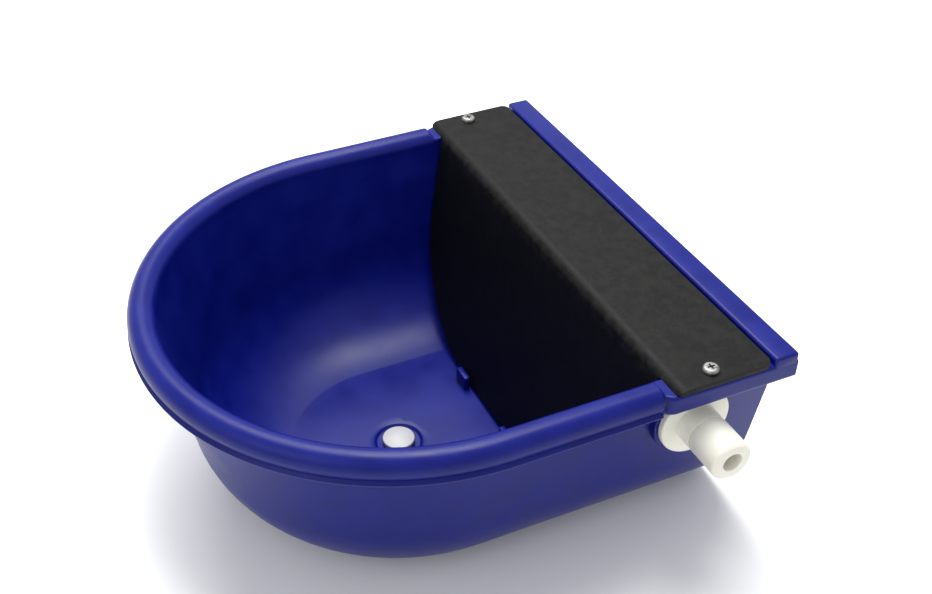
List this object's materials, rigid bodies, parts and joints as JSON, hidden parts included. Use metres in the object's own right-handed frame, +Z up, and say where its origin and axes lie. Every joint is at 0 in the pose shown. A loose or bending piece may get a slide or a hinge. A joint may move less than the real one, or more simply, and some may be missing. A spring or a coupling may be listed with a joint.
{
  "type": "livestock water trough",
  "caption": "Wall-hung D-shaped livestock drinking bowl with a rolled rim, a screwed-on cover and guard, a side water inlet, a hidden float valve and a drain plug.",
  "frame": {"origin": "midway between the two wall holes, on the back face that meets the wall", "axes": "+X towards the side with the water inlet, +Y into the wall, +Z up"},
  "size_m": [0.29, 0.28, 0.1214],
  "materials": {
    "bowl_plastic": "satin moulded polyethylene, royal blue",
    "cover_plastic": "matte black moulded plastic with a faint mottle",
    "screw_steel": "bright zinc-plated steel",
    "plug_plastic": "satin white plastic",
    "fitting_plastic": "natural off-white nylon",
    "lever_plastic": "natural acetal",
    "float_plastic": "natural polypropylene",
    "rubber": "black nitrile rubber",
    "seat_brass": "turned brass"
  },
  "bodies": {
    "trough": {"bowl": "bowl_plastic", "cover": "cover_plastic", "cover_screws": "screw_steel", "valve_body": "fitting_plastic", "inlet_nut": "fitting_plastic", "inlet_gasket": "rubber", "valve_seat": "seat_brass", "valve_cap": "fitting_plastic", "pivot_pin": "screw_steel", "pin_clip": "screw_steel"},
    "lever": {"float_lever": "lever_plastic", "float_shell": "float_plastic", "float_lid": "float_plastic", "float_screw": "screw_steel"},
    "piston": {"plunger": "lever_plastic", "seat_pad": "rubber"},
    "plug": {"drain_plug": "plug_plastic", "drain_seal": "rubber"}
  },
  "joints": [
    {"name": "float_swing", "type": "hinge", "parent": "trough", "child": "lever", "pos_m": [0.06842, -0.045, -0.038], "axis": [0, 1, 0], "range_deg": [0, 24]},
    {"name": "plunger_slide", "type": "slide", "parent": "trough", "child": "piston", "axis": [1, 0, 0], "range_m": [0, 0.00625]},
    {"name": "plug_lift", "type": "slide", "parent": "trough", "child": "plug", "axis": [0, 0, 1], "range_m": [0, 0.04]}
  ],
  "couplings": [
    {"joint": "plunger_slide", "follows": "float_swing", "m_per_rad": 0.014891}
  ]
}
